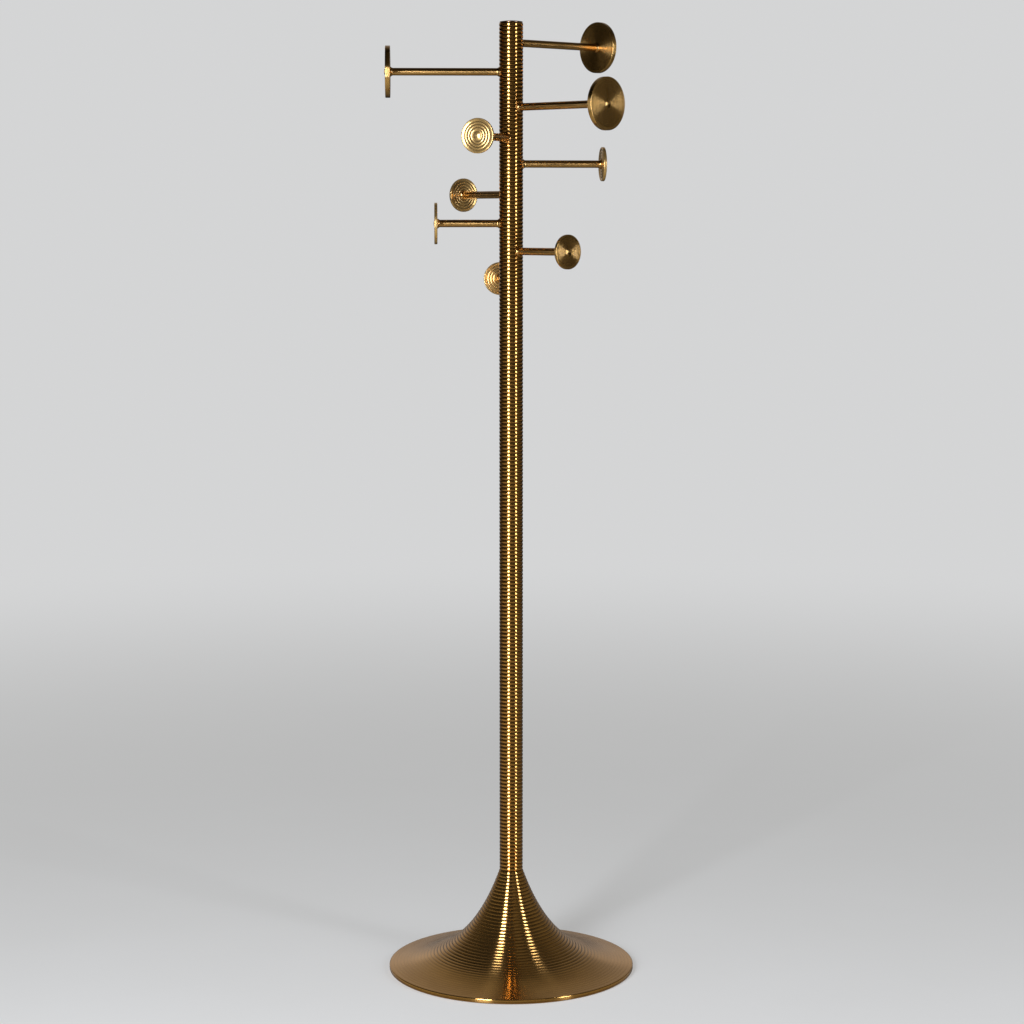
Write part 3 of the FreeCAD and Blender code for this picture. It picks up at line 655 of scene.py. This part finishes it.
def stage_floor():
    """A pale floor that fades into the background a few metres away, like a studio cove."""
    mesh = bpy.data.meshes.new("floor")
    ring = [(FLOOR_RADIUS * math.cos(2 * math.pi * i / FLOOR_SIDES),
             FLOOR_RADIUS * math.sin(2 * math.pi * i / FLOOR_SIDES), -FLOOR_DROP)
            for i in range(FLOOR_SIDES)]
    mesh.from_pydata(ring, [], [tuple(range(FLOOR_SIDES))])
    floor = bpy.data.objects.new("floor", mesh)
    bpy.context.scene.collection.objects.link(floor)
    finish = Finish("pale_floor", {"Metallic": 0.0, "Roughness": 1.0,
                                   "Specular IOR Level": 0.0})
    place = finish.place()
    away = finish.add("VectorMath", {0: place}, operation="LENGTH").outputs["Value"]
    far = finish.add("MapRange", {"Value": away, "From Min": FLOOR_FADE[0],
                                  "From Max": FLOOR_FADE[1]},
                     interpolation_type="SMOOTHSTEP").outputs[0]
    grain = finish.noise(place, scale=3.0, detail=3)
    near = finish.blend(grain, colour(0.52, 0.475, 0.345), colour(0.56, 0.515, 0.38))
    finish.set("Base Color", finish.blend(far, near, colour(0, 0, 0)))
    finish.set("Emission Color", BACKGROUND)
    seen = finish.add("LightPath").outputs["Is Camera Ray"]
    glow = finish.remap(far, 0, 1, FLOOR_GLOW, 1.0)

    # A bright patch of floor left of the stand, which only its reflections show.
    east, north, _ = finish.add("SeparateXYZ", {0: place}).outputs
    card = finish.math("MULTIPLY", finish.remap(east, -0.1, -1.0, 0.0, CARD_STRENGTH),
                       finish.remap(away, 2.2, 4.2, 1.0, 0.0))
    card = finish.math("MULTIPLY", card, finish.remap(north, 0.0, 0.7, 1.0, 0.1))
    finish.set("Emission Strength", finish.add("Mix", {0: seen, 2: card, 3: glow}).outputs[0])
    mesh.materials.append(finish.material)


def studio_world():
    """Pale where the camera sees it; in reflections dim, slightly warm, and dark overhead."""
    world = bpy.data.worlds.new("studio")
    bpy.context.scene.world = world
    world.use_nodes = True
    tree = world.node_tree
    nodes, links = tree.nodes, tree.links
    background = nodes["Background"]

    def ramp(value, stops, tint=(1.0, 0.98, 0.95)):
        """Grey levels at places from 0 to 1, tinted."""
        node = nodes.new("ShaderNodeValToRGB")
        elements = node.color_ramp.elements
        while len(elements) < len(stops):
            elements.new(0.5)
        for element, (at, level) in zip(elements, stops):
            element.position = at
            element.color = (level * tint[0], level * tint[1], level * tint[2], 1)
        links.new(value, node.inputs[0])
        return node.outputs[0]

    def mixed(kind, a, b):
        node = nodes.new("ShaderNodeMixRGB")
        node.blend_type = kind
        node.inputs[0].default_value = 1
        links.new(a, node.inputs[1])
        links.new(b, node.inputs[2])
        return node.outputs[0]

    def halved(value):
        """Turns -1 to 1 into 0 to 1, for a ramp."""
        node = nodes.new("ShaderNodeMath")
        node.operation = "MULTIPLY_ADD"
        node.inputs[1].default_value = 0.5
        node.inputs[2].default_value = 0.5
        links.new(value, node.inputs[0])
        return node.outputs[0]

    direction = nodes.new("ShaderNodeTexCoord").outputs["Generated"]
    split = nodes.new("ShaderNodeSeparateXYZ")
    links.new(direction, split.inputs[0])
    across, away, up = split.outputs
    across, away = halved(across), halved(away)

    # A band round the horizon, brightest near the middle and dimmest on the right.
    low = ramp(up, ((0.0, 0.5), (0.04, 0.6), (0.13, 1.0), (0.28, 1.0), (0.36, 0.05), (0.6, 0.01)))
    front = mixed("MULTIPLY", low, ramp(across, ((0.0, 0.085), (0.2, 0.12), (0.4, 0.15),
                                                 (0.55, 0.20), (0.75, 0.05))))
    # A dim wall on the right.
    right = mixed("MULTIPLY", ramp(up, ((0.0, 1.0), (0.6, 0.8), (0.8, 0.0))),
                  ramp(across, ((0.8, 0.0), (0.93, 0.14), (1.0, 0.14))))
    # The wall behind the stand, slightly blue, and brighter on the left and above the floor.
    behind = mixed("MULTIPLY", ramp(across, ((0.35, 1.0), (0.65, 0.58))),
                   ramp(away, ((0.74, 0.0), (0.86, 0.2), (0.96, 0.43)), (0.95, 1.0, 1.12)))
    behind = mixed("MULTIPLY", behind, ramp(up, ((0.1, 0.55), (0.26, 1.0))))
    # A soft patch on the camera's side, high between the two lamps.
    fore = mixed("MULTIPLY", ramp(across, ((0.53, 0.0), (0.58, 0.11), (0.68, 0.11), (0.74, 0.0))),
                 mixed("MULTIPLY", ramp(up, ((0.3, 0.0), (0.5, 1.0), (0.95, 1.0))),
                       ramp(away, ((0.5, 1.0), (0.6, 0.0)))))
    # Faint light from high up behind the stand.
    high = mixed("MULTIPLY", ramp(up, ((0.5, 0.0), (0.64, 0.05), (0.88, 0.05), (0.97, 0.02))),
                 ramp(away, ((0.56, 0.0), (0.7, 1.0))))
    dim = mixed("ADD", mixed("ADD", front, right),
                mixed("ADD", behind, mixed("ADD", high, fore)))

    path = nodes.new("ShaderNodeLightPath")
    mix = nodes.new("ShaderNodeMixRGB")
    links.new(path.outputs["Is Camera Ray"], mix.inputs[0])
    links.new(dim, mix.inputs[1])
    mix.inputs[2].default_value = BACKGROUND
    links.new(mix.outputs[0], background.inputs[0])


def soft_light(name, azimuth, width, radiance):
    """An upright soft box. Azimuth is seen from the stand: 0 is the camera's side, and right +."""
    data = bpy.data.lights.new(name, "AREA")
    data.shape = "RECTANGLE"
    data.size = width
    data.size_y = LAMP_LENGTH
    data.energy = radiance * width * LAMP_LENGTH * math.pi
    data.color = LAMP_TINT
    lamp = bpy.data.objects.new(name, data)
    bpy.context.scene.collection.objects.link(lamp)
    angle = math.radians(azimuth)
    lamp.location = (LAMP_DISTANCE * math.sin(angle), -LAMP_DISTANCE * math.cos(angle),
                     LAMP_MIDDLE)
    lamp.rotation_euler = (math.radians(90), 0, angle)
    lamp.visible_camera = False


stage_floor()
studio_world()
soft_light("strip_left", azimuth=-25, width=0.66, radiance=27)
soft_light("strip_right", azimuth=50, width=0.5, radiance=13)

bpy.context.scene.view_settings.view_transform = "Standard"

camera_data = bpy.data.cameras.new("camera")
camera_data.lens = CAMERA_LENS
camera_data.sensor_width = CAMERA_SENSOR
camera = bpy.data.objects.new("camera", camera_data)
camera.location = CAMERA_PLACE
camera.rotation_euler = (math.radians(CAMERA_TILT), 0, math.radians(CAMERA_TURN))
bpy.context.scene.collection.objects.link(camera)
bpy.context.scene.camera = camera
